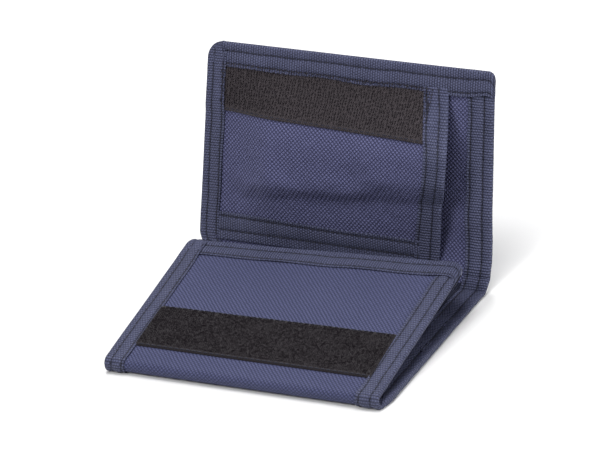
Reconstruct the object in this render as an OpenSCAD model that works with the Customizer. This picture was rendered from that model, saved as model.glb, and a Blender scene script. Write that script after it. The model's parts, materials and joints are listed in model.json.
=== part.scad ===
// Trifold wallet of navy polyester with a hook-and-loop closure.
// The middle panel lies flat, the cover stands up behind it and the flap is folded over it from the front.
//
// Each panel is drawn flat in its own frame: X across the wallet, Y away from the panel's crease
// and Z from the middle of the outer fabric towards the wallet's inside.

/* [Panels] */
// Width of the middle panel, across the wallet
middle_w = 125; // [110:1:130]
// Length of the middle panel, from crease to crease
middle_len = 89.6; // [84:0.2:100]
// Width of the cover
cover_w = 131; // [126:1:136]
// Distance that the cover sits to the left of the middle panel's centre line
cover_shift = 2; // [0:0.5:3]
// Length of the cover, from its crease to its free edge
cover_len = 84; // [82:1:88]
// Width of the flap
flap_w = 123; // [110:1:125]
// Length of the flap, from its crease to its free edge
flap_len = 79; // [74:1:80]
// Radius of the cover's two free corners
cover_corner_r = 6; // [3:0.5:7]
// Radius of the flap's two free corners
flap_corner_r = 4; // [2:0.5:6]

/* [Folds] */
// Height of the front spine, between the middle panel and the flap
front_spine_len = 4.4; // [4.2:0.1:4.6]
// Width of the rear spine, between the middle panel and the cover
rear_spine_len = 6.6; // [6.5:0.1:7.5]
// Bend of each of the rear spine's two creases
rear_crease_bend = 34; // [20:1:45]
// Slope of the flap above the middle panel
flap_slope = 9.3; // [5:0.1:12]

/* [Fabric] */
// Thickness of the outer fabric with its backing
shell_t = 0.8; // [0.7:0.1:0.9]
// Thickness of the thin lining and pocket fabric
lining_t = 0.3; // [0.2:0.05:0.3]
// Thickness of the cover's pocket panel
pocket_t = 0.5; // [0.4:0.1:0.6]
// Space between the cover's lining and its pocket panel, for banknotes
note_gap = 0.3; // [0.2:0.1:0.4]
// Thickness of the binding tape
tape_t = 0.3; // [0.2:0.05:0.35]
// Width of the binding tape on the cover's top edge
top_tape_w = 10; // [8:0.5:12]
// Width of the binding tape on the cover's left edge
left_tape_w = 8.5; // [7:0.5:11]
// Width of the binding tape on the cover's right edge
right_tape_w = 11; // [8:0.5:12]
// Width of the binding tape on the edges of the flap and the middle panel
edge_tape_w = 9.5; // [8:0.5:11]

/* [Closure] */
// Visible width of the hook tape on the cover
hook_w = 20; // [16:1:24]
// Thickness of the hook tape
hook_t = 0.8; // [0.6:0.1:0.9]
// Width of the loop tape on the flap
loop_w = 25; // [20:1:28]
// Distance from the flap's crease to the loop tape
loop_start = 10.4; // [9:0.1:14]
// Thickness of the loop tape
loop_t = 0.8; // [0.6:0.1:0.9]

/* [Pockets] */
// Distance from the cover's left edge to the open side of its pocket
pocket_reach = 109.5; // [100:0.5:110]
// Width of the tape along the pocket's open side
pocket_side_tape_w = 10.5; // [8:0.5:12]
// Width of the tape along the pocket's bottom edge
pocket_bottom_tape_w = 8.5; // [7:0.5:10]
// Distance from the cover's crease to the pocket's bottom edge
pocket_bottom = 3.8; // [3:0.1:6]
// Depth of the rear card pocket on the middle panel
rear_card_depth = 66; // [60:1:75]
// Depth of the front card pocket on the middle panel
front_card_depth = 48; // [40:1:55]
// Width of the hem tape along each card pocket's mouth
card_hem_w = 7; // [5:0.5:9]
// Width of the clear window on the flap's inside
window_w = 86; // [70:1:92]
// Height of the clear window on the flap's inside
window_h = 52; // [40:1:54]

/* [Hidden] */
$fn = 48;

// Colours
navy = [0.23, 0.24, 0.37];
tape_navy = [0.22, 0.24, 0.32];
lining_navy = [0.16, 0.17, 0.25];
hook_black = [0.12, 0.11, 0.12];
thread_navy = [0.12, 0.12, 0.2];
clear_vinyl = [0.8, 0.85, 0.9, 0.4];

// Distance that a plate of outer fabric stays back from a crease
shell_setback = 1;
// Distance that the layers inside the outer fabric stay back from a crease
inner_setback = 1.7;
// Thickness of the folded edge of a binding tape
edge_t = 0.5;
// Width and height of a row of stitches, and the gap at its ends
thread_w = 0.6;
thread_t = 0.15;
thread_end = 1.2;
// Share of a tape's width from its outer edge to each of its two stitch rows
stitch_rows = [0.36, 0.86];

// Levels of the layers, counted inwards from the middle of the outer fabric
outer_v = -shell_t / 2;
pinched_v = outer_v + tape_t;
shell_v = shell_t / 2;
lining_v = shell_v + lining_t;
rear_card_v = lining_v + lining_t;
front_card_v = rear_card_v + lining_t;
card_hem_v = front_card_v + lining_t;
window_v = lining_v + lining_t / 2;
frame_v = lining_v + lining_t;
pocket_v0 = lining_v + note_gap;
pocket_v = pocket_v0 + pocket_t;

// Places of the four creases, in the middle of the outer fabric
front_crease = [0, -middle_len / 2, shell_t / 2];
flap_crease = front_crease + [0, 0, front_spine_len];
rear_crease = [0, middle_len / 2, shell_t / 2];
cover_crease = rear_crease + rear_spine_len * [0, cos(rear_crease_bend), sin(rear_crease_bend)];
cover_bend = 2 * rear_crease_bend;
front_spine_bend = 90;
flap_bend = 180 - flap_slope;

// Widths of the spines, between those of the panels that they join
front_spine_w = (middle_w + flap_w) / 2;
rear_spine_w = (middle_w + cover_w) / 2;

// Extent of the cover's pocket and of the strip under the flap's loop tape
pocket_x0 = -cover_w / 2 + edge_t;
pocket_x1 = -cover_w / 2 + pocket_reach;
hook_end = cover_len - top_tape_w;
loop_half = flap_w / 2 - edge_tape_w;

// Puts a piece drawn flat on the rear side of the middle panel at its fold
module rear_side(crease, bend)
    translate(crease) rotate([bend, 0, 0]) children();

// The same on the front side, where the panels run the other way
module front_side(crease, bend)
    translate(crease) mirror([0, 1, 0]) rotate([bend, 0, 0]) children();

// The middle panel's frame starts at its front crease
module middle_side()
    translate(front_crease) children();

// A flat block between two corners
module slab(low, high)
    translate(low) cube(high - low);

// Outline of a panel whose free end has two round corners
module panel_outline(w, from, to, r)
    intersection() {
        translate([-w / 2, from]) square([w, to - from]);
        union() {
            translate([-w / 2, from]) square([w, to - r - from]);
            translate([-w / 2 + r, from]) square([w - 2 * r, to - from]);
            for (side = [-1, 1])
                translate([side * (w / 2 - r), to - r]) circle(r);
        }
    }

// A layer of the given outline between two levels
module layer(v0, v1)
    translate([0, 0, v0]) linear_extrude(v1 - v0) children();

// Tape folded round a panel's side edge: side is -1 at the left and 1 at the right
module side_tape(side, w, tape_w, from, to, inner_v) {
    profile = [[w / 2 - tape_w, outer_v], [w / 2, outer_v], [w / 2, inner_v + tape_t],
               [w / 2 - tape_w, inner_v + tape_t], [w / 2 - tape_w, inner_v],
               [w / 2 - edge_t, inner_v], [w / 2 - edge_t, pinched_v], [w / 2 - tape_w, pinched_v]];
    mirror([side < 0 ? 1 : 0, 0, 0])
        translate([0, to, 0]) rotate([90, 0, 0]) linear_extrude(to - from) polygon(profile);
}

// Tape folded round a panel's free end, with round corners
module end_tape(w, tape_w, to, r, inner_v) {
    from = to - tape_w;
    for (leg = [[outer_v, pinched_v], [inner_v, inner_v + tape_t]])
        layer(leg[0], leg[1]) panel_outline(w, from, to, r);
    layer(pinched_v, inner_v) difference() {
        panel_outline(w, from, to, r);
        translate([0, -1]) panel_outline(w - 2 * edge_t, from, to - edge_t + 1, r - edge_t);
    }
}

// Outer fabric of a panel: full thickness between its tapes, pinched under them
module shell_plate(w, left_w, right_w, end_w, from, to, r) {
    layer(pinched_v, shell_v) panel_outline(w - 2 * edge_t, from, to - edge_t, r - edge_t);
    slab([-w / 2 + left_w, from, outer_v], [w / 2 - right_w, to - end_w, pinched_v]);
}

// Rows of thread that run along a side tape
module side_threads(side, w, tape_w, from, to, v)
    for (row = stitch_rows)
        translate([side * (w / 2 - row * tape_w), 0, 0])
            slab([-thread_w / 2, from + thread_end, v], [thread_w / 2, to - thread_end, v + thread_t]);

// Rows of thread that run across a panel, on a tape that ends at to
module cross_threads(x0, x1, tape_w, to, v)
    for (row = stitch_rows)
        translate([0, to - row * tape_w, 0])
            slab([x0 + thread_end, -thread_w / 2, v], [x1 - thread_end, thread_w / 2, v + thread_t]);

// ---- Middle panel ----

module middle_shell()
    color(navy) middle_side() {
        slab([-middle_w / 2 + edge_t, shell_setback, pinched_v],
             [middle_w / 2 - edge_t, middle_len - shell_setback, shell_v]);
        slab([-middle_w / 2 + edge_tape_w, shell_setback, outer_v],
             [middle_w / 2 - edge_tape_w, middle_len - shell_setback, pinched_v]);
    }

module middle_lining()
    color(lining_navy) middle_side()
        slab([-middle_w / 2 + edge_t, inner_setback, shell_v],
             [middle_w / 2 - edge_t, middle_len - inner_setback, lining_v]);

// A card pocket sewn in under the side tapes, open towards the rear
module card_pocket(depth, v0, v1)
    middle_side()
        slab([-middle_w / 2 + edge_t, inner_setback, v0], [middle_w / 2 - edge_t, depth, v1]);

// The tape along a card pocket's mouth
module card_hem(depth, v0, v1)
    middle_side()
        slab([-middle_w / 2 + edge_tape_w, depth - card_hem_w, v0],
             [middle_w / 2 - edge_tape_w, depth, v1]);

module card_pocket_rear() color(navy) card_pocket(rear_card_depth, lining_v, rear_card_v);
module card_pocket_rear_hem() color(tape_navy) card_hem(rear_card_depth, rear_card_v, front_card_v);
module card_pocket_front() color(navy) card_pocket(front_card_depth, rear_card_v, front_card_v);
module card_pocket_front_hem() color(tape_navy) card_hem(front_card_depth, front_card_v, card_hem_v);

module middle_binding(side)
    color(tape_navy) middle_side()
        side_tape(side, middle_w, edge_tape_w, inner_setback, middle_len - inner_setback, front_card_v);

module middle_left_binding() middle_binding(-1);
module middle_right_binding() middle_binding(1);

module middle_stitching()
    color(thread_navy) middle_side()
        for (side = [-1, 1])
            side_threads(side, middle_w, edge_tape_w, inner_setback, middle_len - inner_setback,
                         front_card_v + tape_t);

// ---- Spines ----

// The outer fabric of a spine, pinched under its side tapes
module spine_shell(w, len)
    color(navy) {
        slab([-w / 2 + edge_t, shell_setback, pinched_v], [w / 2 - edge_t, len - shell_setback, shell_v]);
        slab([-w / 2 + edge_tape_w, shell_setback, outer_v],
             [w / 2 - edge_tape_w, len - shell_setback, pinched_v]);
    }

// The lining of a spine, between its side tapes
module spine_lining(w, len)
    color(lining_navy)
        slab([-w / 2 + edge_tape_w, shell_setback, shell_v], [w / 2 - edge_tape_w, len - shell_setback, lining_v]);

module spine_binding(side, w, len)
    color(tape_navy)
        side_tape(side, w, edge_tape_w, shell_setback, len - shell_setback, shell_v);

// The rear spine sits halfway between the middle panel and the cover
module on_rear_spine() translate([-cover_shift / 2, 0, 0]) rear_side(rear_crease, rear_crease_bend) children();

module rear_spine_shell() on_rear_spine() spine_shell(rear_spine_w, rear_spine_len);
module rear_spine_lining() on_rear_spine() spine_lining(rear_spine_w, rear_spine_len);
module rear_spine_left_binding() on_rear_spine() spine_binding(-1, rear_spine_w, rear_spine_len);
module rear_spine_right_binding() on_rear_spine() spine_binding(1, rear_spine_w, rear_spine_len);

module on_front_spine() front_side(front_crease, front_spine_bend) children();

module front_spine_shell() on_front_spine() spine_shell(front_spine_w, front_spine_len);
module front_spine_lining() on_front_spine() spine_lining(front_spine_w, front_spine_len);
module front_spine_left_binding() on_front_spine() spine_binding(-1, front_spine_w, front_spine_len);
module front_spine_right_binding() on_front_spine() spine_binding(1, front_spine_w, front_spine_len);

// ---- Cover ----

module on_cover() translate([-cover_shift, 0, 0]) rear_side(cover_crease, cover_bend) children();

module cover_shell()
    color(navy) on_cover()
        shell_plate(cover_w, left_tape_w, right_tape_w, top_tape_w, shell_setback, cover_len, cover_corner_r);

module cover_lining()
    color(navy) on_cover()
        layer(shell_v, lining_v)
            panel_outline(cover_w - 2 * edge_t, inner_setback, cover_len - edge_t, cover_corner_r - edge_t);

// The pocket's right side is open: it stops at its side tape
module cover_pocket()
    color(navy) on_cover()
        layer(pocket_v0, pocket_v) intersection() {
            panel_outline(cover_w - 2 * edge_t, pocket_bottom, cover_len - edge_t, cover_corner_r - edge_t);
            translate([pocket_x0, pocket_bottom])
                square([pocket_x1 - pocket_x0 - edge_t, cover_len - pocket_bottom]);
        }

// Tape folded round the pocket's open side
module cover_pocket_side_binding()
    color(tape_navy) on_cover() {
        slab([pocket_x1 - edge_t, pocket_bottom, pocket_v0], [pocket_x1, hook_end, pocket_v + tape_t]);
        slab([pocket_x1 - pocket_side_tape_w, pocket_bottom, pocket_v],
             [pocket_x1 - edge_t, hook_end, pocket_v + tape_t]);
    }

module cover_pocket_bottom_binding()
    color(tape_navy) on_cover()
        slab([-cover_w / 2 + left_tape_w, pocket_bottom, pocket_v],
             [pocket_x1 - pocket_side_tape_w, pocket_bottom + pocket_bottom_tape_w, pocket_v + tape_t]);

module cover_top_binding()
    color(tape_navy) on_cover() end_tape(cover_w, top_tape_w, cover_len, cover_corner_r, pocket_v);

module cover_left_binding()
    color(tape_navy) on_cover() side_tape(-1, cover_w, left_tape_w, inner_setback, hook_end, pocket_v);

module cover_right_binding()
    color(tape_navy) on_cover() side_tape(1, cover_w, right_tape_w, inner_setback, hook_end, lining_v);

module hook_tape()
    color(hook_black) on_cover()
        slab([-cover_w / 2 + left_tape_w, hook_end - hook_w, pocket_v],
             [pocket_x1 - pocket_side_tape_w, hook_end, pocket_v + hook_t]);

module cover_stitching()
    color(thread_navy) on_cover() {
        cross_threads(-cover_w / 2 + cover_corner_r, cover_w / 2 - cover_corner_r, top_tape_w, cover_len,
                      pocket_v + tape_t);
        side_threads(-1, cover_w, left_tape_w, inner_setback, hook_end, pocket_v + tape_t);
        side_threads(1, cover_w, right_tape_w, inner_setback, hook_end, lining_v + tape_t);
        side_threads(1, 2 * pocket_x1, pocket_side_tape_w, pocket_bottom, hook_end, pocket_v + tape_t);
        cross_threads(-cover_w / 2 + left_tape_w, pocket_x1 - pocket_side_tape_w, pocket_bottom_tape_w,
                      pocket_bottom + pocket_bottom_tape_w, pocket_v + tape_t);
    }

// ---- Flap ----

module on_flap() front_side(flap_crease, flap_bend) children();

module flap_shell()
    color(navy) on_flap()
        shell_plate(flap_w, edge_tape_w, edge_tape_w, edge_tape_w, shell_setback, flap_len, flap_corner_r);

module flap_lining()
    color(lining_navy) on_flap()
        layer(shell_v, lining_v)
            panel_outline(flap_w - 2 * edge_t, inner_setback, flap_len - edge_t, flap_corner_r - edge_t);

// The clear window lies in a step on the inner side of its fabric frame
module id_window()
    color(clear_vinyl) on_flap()
        slab([-window_w / 2 - edge_t, window_bottom() - edge_t, lining_v],
             [window_w / 2 + edge_t, window_bottom() + window_h + edge_t, window_v]);

module window_frame()
    color(navy) on_flap() difference() {
        slab([-flap_w / 2 + edge_t, inner_setback, lining_v],
             [flap_w / 2 - edge_t, flap_len - edge_tape_w, frame_v]);
        slab([-window_w / 2 - edge_t, window_bottom() - edge_t, lining_v - 1],
             [window_w / 2 + edge_t, window_bottom() + window_h + edge_t, window_v]);
        slab([-window_w / 2, window_bottom(), lining_v - 1],
             [window_w / 2, window_bottom() + window_h, frame_v + 1]);
    }

// The window is centred between the flap's crease and its rear tape
function window_bottom() = (inner_setback + flap_len - edge_tape_w - window_h) / 2;

module flap_side_binding(side)
    color(tape_navy) on_flap()
        side_tape(side, flap_w, edge_tape_w, inner_setback, flap_len - edge_tape_w, frame_v);

module flap_left_binding() flap_side_binding(-1);
module flap_right_binding() flap_side_binding(1);

module flap_rear_binding()
    color(tape_navy) on_flap() end_tape(flap_w, edge_tape_w, flap_len, flap_corner_r, frame_v);

module loop_tape()
    color(hook_black) on_flap()
        slab([-loop_half, loop_start, outer_v - loop_t], [loop_half, loop_start + loop_w, outer_v]);

module flap_stitching()
    color(thread_navy) on_flap() {
        for (side = [-1, 1])
            side_threads(side, flap_w, edge_tape_w, inner_setback, flap_len - edge_tape_w,
                         outer_v - thread_t);
        cross_threads(-flap_w / 2 + flap_corner_r, flap_w / 2 - flap_corner_r, edge_tape_w, flap_len,
                      outer_v - thread_t);
    }

middle_shell();
middle_lining();
card_pocket_rear();
card_pocket_rear_hem();
card_pocket_front();
card_pocket_front_hem();
middle_left_binding();
middle_right_binding();
middle_stitching();
rear_spine_shell();
rear_spine_lining();
rear_spine_left_binding();
rear_spine_right_binding();
cover_shell();
cover_lining();
cover_pocket();
cover_pocket_side_binding();
cover_pocket_bottom_binding();
cover_top_binding();
cover_left_binding();
cover_right_binding();
hook_tape();
cover_stitching();
front_spine_shell();
front_spine_lining();
front_spine_left_binding();
front_spine_right_binding();
flap_shell();
flap_lining();
window_frame();
id_window();
flap_left_binding();
flap_right_binding();
flap_rear_binding();
loop_tape();
flap_stitching();
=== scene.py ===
"""The looks of the trifold wallet, built round its CAD part: woven panels, tapes folded over
their edges, stitches, hook-and-loop tape, card pockets and the soft light it is seen in.

Lengths are in millimetres until place() turns them into metres in the row frame; only the
lights and the floor's size are written in metres."""
import json
import math

import bpy
import numpy as np
from mathutils import Matrix, Vector


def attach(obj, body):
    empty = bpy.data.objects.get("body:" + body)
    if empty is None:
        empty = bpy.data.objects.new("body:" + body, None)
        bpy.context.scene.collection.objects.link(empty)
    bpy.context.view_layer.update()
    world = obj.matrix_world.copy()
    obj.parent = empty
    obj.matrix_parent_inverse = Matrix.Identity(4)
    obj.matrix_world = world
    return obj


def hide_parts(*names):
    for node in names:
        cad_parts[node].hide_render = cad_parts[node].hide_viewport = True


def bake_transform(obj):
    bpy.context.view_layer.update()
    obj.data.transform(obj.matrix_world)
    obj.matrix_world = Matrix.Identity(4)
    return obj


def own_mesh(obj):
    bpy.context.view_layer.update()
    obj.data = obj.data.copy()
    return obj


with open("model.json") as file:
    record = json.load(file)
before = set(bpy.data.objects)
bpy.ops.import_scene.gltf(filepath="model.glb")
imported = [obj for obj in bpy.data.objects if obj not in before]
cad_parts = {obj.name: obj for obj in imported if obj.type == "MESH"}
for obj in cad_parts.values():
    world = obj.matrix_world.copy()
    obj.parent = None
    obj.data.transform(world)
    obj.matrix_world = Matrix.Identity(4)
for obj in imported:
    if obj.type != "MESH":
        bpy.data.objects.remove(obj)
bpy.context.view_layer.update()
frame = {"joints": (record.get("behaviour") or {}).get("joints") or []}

MM = 0.001
RNG = np.random.default_rng(11)

# ---- sizes, in mm -----------------------------------------------------------------------------

FOLD_RADIUS = 2.2          # of the outer fabric's middle where it folds
MIDDLE_HALF = 62.5         # half the middle panel's width
REAR_LEFT, REAR_RIGHT = -66.0, 63.0      # edges at the rear fold
COVER_LEFT, COVER_RIGHT = -66.2, 61.6    # the cover's edges at its far end
COVER_FRONT_LEFT = -68.8                 # its left edge where it leaves its fold
FLAP_LEFT, FLAP_RIGHT = -61.2, 63.2      # the flap's edges at its far end
FLAP_FRONT_RIGHT = 60.6                  # its right edge at its fold
MIDDLE_REACH = 44.8        # from the middle of the middle panel to either crease
COVER_END, FLAP_END = 84.0, 79.0         # lengths beyond their creases
REAR_SPINE_HALF, FRONT_SPINE_HALF = 3.3, 2.2
COVER_CORNER, COVER_RIGHT_CORNER = 7.0, 3.2   # corner radii
FLAP_CORNER, FLAP_RIGHT_CORNER = 3.5, 6.5

# Directions that the fabric runs in, in degrees above level, as it leaves the middle panel
REAR_SPINE_ANGLE, COVER_ANGLE = 34, 68
FRONT_SPINE_ANGLE, FLAP_ANGLE = 90, 170.7

FABRIC_LOW, FABRIC_HIGH = -0.4, 0.0     # skins of the outer fabric
LINING_LOW, LINING_HIGH = 0.05, 0.35
FABRIC_INSET, LINING_INSET = 0.9, 1.2   # from the tape's folded edge to the layers it holds
LEFT_TAPE, RIGHT_TAPE, TOP_TAPE, FLAP_TAPE = 8.7, 11.3, 10.0, 9.2   # widths of the tapes' legs
RIM_BULGE = 0.66           # how far a tape stands off the layers at its folded edge
MITRE_LENGTH = 11.5        # of the folded right end of a tape along a panel's far end
ROWS = (0.36, 0.86)        # stitch rows, as shares of a leg's width from the folded edge
STITCH_LENGTH, STITCH_PITCH, THREAD_RADIUS = 2.3, 3.0, 0.2
SMALL_STITCH, SMALL_PITCH = 1.9, 2.6   # along the hook tape and the loop tape

LOOP_TAPE = (-52.3, 52.3, 10.4, 35.6)   # from x, to x, from s and to s on the flap
LOOP_COUNT = 14000
WINDOW_HALF, WINDOW_LOW, WINDOW_HIGH = 43.0, 13.0, 65.0
CARD_POCKETS = (("rear", 66.0, 0.4), ("front", 48.0, 0.75))   # name, depth and height that it lies at
CARD_HEM = 7.0             # width of the tape along a card pocket's mouth

POCKET_BOTTOM, POCKET_TOP = 2.4, 80.0
POCKET_SIDE = 44.0         # x of the pocket's open edge
HOOK_LEFT, HOOK_RIGHT = -60.2, 37.0
POCKET_CREASE = 29.0       # distance from the cover's fold to the soft crease in the pocket
POCKET_CLOTH, POCKET_TAPE = 0.35, 10.6   # thickness of its cloth and width of its side tape

# ---- camera: angles in degrees are azimuth, elevation and roll; the rest is in mm ----------------

CAMERA_ANGLES = (31.58, 28.82, -9.16)
CAMERA_TARGET = (13.59, -4.8, 53.56)
CAMERA_DISTANCE = 2334.95
CAMERA_LENS, CAMERA_SENSOR = 360.0, 36.0

# ---- the pocket's cloth simulation --------------------------------------------------------------

SIM_SCALE = 0.01           # units per mm: ten times as large as it is, which suits the solver
SIM_FRAMES = 9
SLACK = 0.003              # how much larger than its place the pocket's cloth is cut


# ---- small helpers ----------------------------------------------------------------------------

def ease(value, start, end):
    """0 before start, 1 after end and smooth between them."""
    t = np.clip((value - start) / (end - start), 0, 1)
    return t * t * (3 - 2 * t)


def between(a, b, share):
    """a where share is 0, b where it is 1."""
    return a + (b - a) * share


def waves(seed, length):
    """A gentle random wave of amplitude about 1 over a surface, as a function of two coordinates."""
    source = np.random.default_rng(seed)
    turns = source.uniform(0, 2 * math.pi, 5)
    phases = source.uniform(0, 2 * math.pi, 5)
    rates = 2 * math.pi / (length * source.uniform(0.6, 1.6, 5))

    def height(x, s):
        total = 0
        for turn, phase, rate in zip(turns, phases, rates):
            total = total + np.sin(rate * (x * math.cos(turn) + s * math.sin(turn)) + phase)
        return total / 3
    return height


def corner_drop(distance, radius):
    """How far a rounded corner's outline has moved in, at a distance from the end of the panel."""
    inside = np.clip(radius - distance, 0, radius)
    return radius - np.sqrt(radius ** 2 - inside ** 2)


def link(name, mesh, material):
    """A new piece in the scene, with one material."""
    piece = bpy.data.objects.new(name, mesh)
    bpy.context.scene.collection.objects.link(piece)
    mesh.materials.append(material)
    return piece


def mesh_piece(name, points, faces, uv, material, hollow=None):
    """A smooth mesh from points in metres, with the uv of each point in mm. hollow says how deep
    in a groove each point is, from 0 to 1; the tape's material turns it into painted shade."""
    mesh = bpy.data.meshes.new(name)
    mesh.from_pydata(points.tolist(), [], faces.tolist())
    layer = mesh.uv_layers.new(name="UVMap")
    corners = np.empty(len(mesh.loops), int)
    mesh.loops.foreach_get("vertex_index", corners)
    layer.data.foreach_set("uv", uv[corners].astype(np.float32).ravel())
    mesh.polygons.foreach_set("use_smooth", [True] * len(mesh.polygons))
    if hollow is not None:
        mesh.attributes.new("hollow", "FLOAT", "POINT").data.foreach_set("value", hollow.astype(np.float32))
    return link(name, mesh, material)


def grid_faces(rows, cols):
    """Quads between the points of a grid stored row by row."""
    first = (np.arange(rows - 1)[:, None] * cols + np.arange(cols - 1)[None, :]).ravel()
    return np.stack([first, first + 1, first + cols + 1, first + cols], axis=1)


def border_walls(faces, offset, open_points):
    """Walls that close the gap between two skins along every free edge but those at an open end."""
    uses = {}
    for face in faces.tolist():
        for a, b in zip(face, face[1:] + face[:1]):
            uses[(min(a, b), max(a, b))] = None if (min(a, b), max(a, b)) in uses else (a, b)
    walls = []
    for edge in uses.values():
        if edge and not (edge[0] in open_points and edge[1] in open_points):
            a, b = edge
            walls.append([b, a, a + offset, b + offset])
    return np.array(walls, int).reshape(-1, 4)


# ---- the folded strips that the wallet is made of ------------------------------------------------

class Strip:
    """Part of the wallet round one crease. Its coordinates are x, the distance s past the crease
    and the height v above the middle of the outer fabric, towards the inside of the wallet. parts
    are the names it has before and after the crease, corners its left and right corner radii."""

    def __init__(self, name, joint, parts, facing, angles, ends, edges, warp, uv_start, corners=(0, 0)):
        pose = next(j for j in frame["joints"] if j["name"] == joint)["pos_m"]
        self.name, self.parts, self.facing, self.ends, self.corners = name, parts, facing, ends, corners
        self.bodies = ["middle_panel" if part == "middle" else part for part in parts]
        self.crease = np.array(pose[1:]) / MM
        self.angle_in, self.angle_out = (math.radians(a) for a in angles)
        self.edges, self.warp, self.uv_start = edges, warp, uv_start
        self.reach = FOLD_RADIUS * math.tan((self.angle_out - self.angle_in) / 2)

    def along(self, angle):
        """y and z of the direction in which s grows, where the fabric runs at an angle."""
        return np.stack([self.facing * np.cos(angle), np.sin(angle)], axis=-1)

    def inward(self, angle):
        """y and z of the direction in which v grows."""
        return np.stack([-self.facing * np.sin(angle), np.cos(angle)], axis=-1)

    def place(self, x, s, v):
        """The points in the row frame, in metres, of arrays of the strip's coordinates."""
        x, s, v = np.broadcast_arrays(*(np.asarray(a, float) for a in (x, s, v)))
        stretch, lift = self.warp(x, s)
        s = s + stretch
        turn = np.clip((s + self.reach) / (2 * self.reach), 0, 1)
        angle = between(self.angle_in, self.angle_out, turn)
        first, last = self.along(np.array(self.angle_in)), self.along(np.array(self.angle_out))
        centre = self.crease - self.reach * first + FOLD_RADIUS * self.inward(np.array(self.angle_in))
        middle = centre - FOLD_RADIUS * self.inward(angle)
        middle = middle + np.minimum(s + self.reach, 0)[..., None] * first
        middle = middle + np.maximum(s - self.reach, 0)[..., None] * last
        yz = middle + (v + lift)[..., None] * self.inward(angle)
        return np.concatenate([x[..., None], yz], axis=-1) * MM

    def stations(self, start=None, end=None, step=1.6):
        """Values of s from start to end, closer together at the crease."""
        start = self.ends[0] if start is None else start
        end = self.ends[1] if end is None else end
        bend = np.linspace(-self.reach, self.reach, 13)
        flat = np.linspace(start, end, max(2, int(abs(end - start) / step) + 1))
        flat = flat[(abs(flat) > self.reach + 0.3) | (flat == start) | (flat == end)]
        kept = bend[(bend > start) & (bend < end)]
        return np.unique(np.concatenate([flat, kept]))

    def fix(self, piece, nodes, slot):
        """Bakes a piece's place into its mesh and hides the CAD nodes that it stands for."""
        start = Vector(self.place(0, -self.reach - 0.4, 0))
        end = Vector(self.place(0, self.reach + 0.4, 0))
        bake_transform(piece)
        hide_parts(*nodes)
        return piece


def ride(piece, body, nodes):
    """Lets a piece move with one body, and hides the CAD nodes that it stands for."""
    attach(piece, body)
    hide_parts(*nodes)
    return piece


def no_warp(x, s):
    """For a strip that lies flat."""
    return 0 * x, 0 * x


cover_wave, flap_wave = waves(3, 70), waves(5, 60)


def cover_warp(x, s):
    """How far the cover's points move along s and v: it leans more at its left, isn't quite
    flat, and bows out a little over the corner of the flap."""
    away = ease(s, 1.5, 30)
    share = (x - COVER_LEFT) / (COVER_RIGHT - COVER_LEFT)
    lean = between(0.024, 0.010, share)
    short = ease(s, 20, COVER_END) * between(-0.7, -1.1, share)
    bowed = 1.0 * ease(s, 1, 7) * (1 - ease(s, 12, 28)) * ease(x, 15, 50)
    return short, away * (lean * s + 0.35 * cover_wave(x, s)) - bowed


def flap_warp(x, s):
    """The flap is twisted, with its right side higher, and was cut a little longer on that side."""
    away = ease(s, 3, 30)
    share = (x - FLAP_LEFT) / (FLAP_RIGHT - FLAP_LEFT)
    twist = between(0.016, -0.029, share)
    longer = ease(s, 5, FLAP_END) * between(-1.8, 1.4, share)
    return longer, away * (twist * s + 0.3 * flap_wave(x, s))


def rear_edges(s):
    """x of the left and right edges along the rear of the middle panel and the rear spine."""
    share = ease(s, -5, REAR_SPINE_HALF)
    return between(-MIDDLE_HALF, REAR_LEFT, share), between(MIDDLE_HALF, REAR_RIGHT, share)


def cover_edges(s):
    """x of the cover's edges: it isn't sewn on quite square."""
    slanted = between(COVER_FRONT_LEFT, COVER_LEFT, s / COVER_END)
    left = between(REAR_LEFT, slanted, ease(s, -REAR_SPINE_HALF, 5))
    return left, between(REAR_RIGHT, COVER_RIGHT, ease(s, -REAR_SPINE_HALF, 90))


def front_edges(s):
    """x of the edges along the front of the middle panel and the front spine."""
    share = ease(s, -9, FRONT_SPINE_HALF)
    return between(-MIDDLE_HALF, FLAP_LEFT, share), between(MIDDLE_HALF, FLAP_FRONT_RIGHT, share)


def flap_edges(s):
    """x of the flap's edges."""
    return FLAP_LEFT + 0 * s, between(FLAP_FRONT_RIGHT, FLAP_RIGHT, ease(s, -FRONT_SPINE_HALF, 90))


REAR = Strip("middle_rear", "rear_spine_fold", ("middle", "rear_spine"), 1, (0, REAR_SPINE_ANGLE),
             (-MIDDLE_REACH, REAR_SPINE_HALF), rear_edges, no_warp, MIDDLE_REACH)
COVER = Strip("cover", "cover_fold", ("rear_spine", "cover"), 1, (REAR_SPINE_ANGLE, COVER_ANGLE),
              (-REAR_SPINE_HALF, COVER_END), cover_edges, cover_warp, MIDDLE_REACH + 2 * REAR_SPINE_HALF,
             (COVER_CORNER, COVER_RIGHT_CORNER))
FRONT = Strip("middle_front", "front_spine_fold", ("middle", "front_spine"), -1, (0, FRONT_SPINE_ANGLE),
              (-MIDDLE_REACH, FRONT_SPINE_HALF), front_edges, no_warp, MIDDLE_REACH)
FLAP = Strip("flap", "flap_fold", ("front_spine", "flap"), -1, (FRONT_SPINE_ANGLE, FLAP_ANGLE),
             (-FRONT_SPINE_HALF, FLAP_END), flap_edges, flap_warp, MIDDLE_REACH + 2 * FRONT_SPINE_HALF,
             (FLAP_CORNER, FLAP_RIGHT_CORNER))
STRIPS = (REAR, COVER, FRONT, FLAP)


# ---- sheets, tapes and patches --------------------------------------------------------------------

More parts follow.
